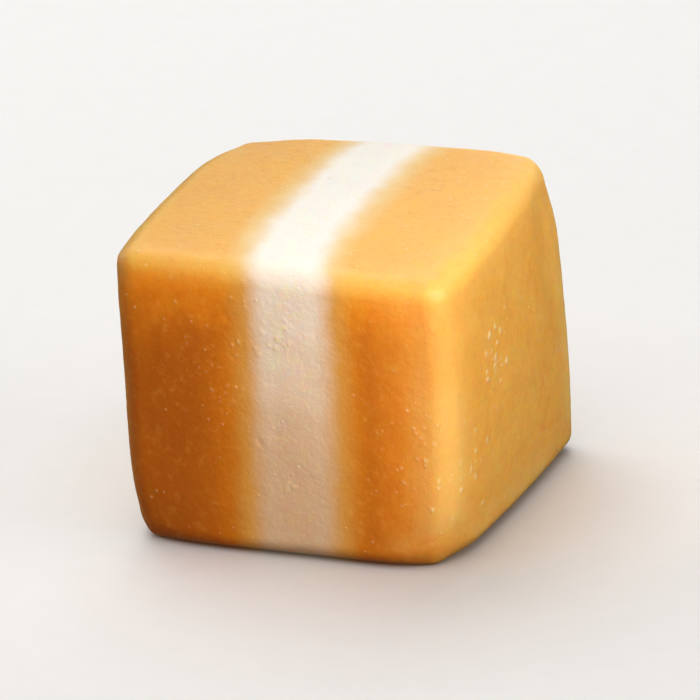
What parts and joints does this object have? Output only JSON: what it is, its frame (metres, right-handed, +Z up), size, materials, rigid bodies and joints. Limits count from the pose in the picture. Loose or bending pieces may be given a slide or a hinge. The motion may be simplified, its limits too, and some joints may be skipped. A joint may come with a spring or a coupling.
{
  "type": "layered caramel candy",
  "caption": "Soft cube of caramel candy with an upright band of vanilla cream running through it, resting on its flat base.",
  "frame": {"origin": "middle of the candy's footprint, on the surface it rests on", "axes": "+X across the layers towards the smooth end, -Y the front that shows the band upright, +Z up"},
  "size_m": [0.0216, 0.0198, 0.0189],
  "materials": {
    "caramel": "soft satin caramel, golden brown and slightly translucent, with fine sugar grain and lighter edges",
    "cream": "soft satin vanilla cream, warm ivory with fine sugar grain, blending into the caramel at its borders"
  },
  "bodies": {
    "root": {"caramel_layer_left": "caramel", "cream_layer": "cream", "caramel_layer_right": "caramel"}
  },
  "joints": []
}
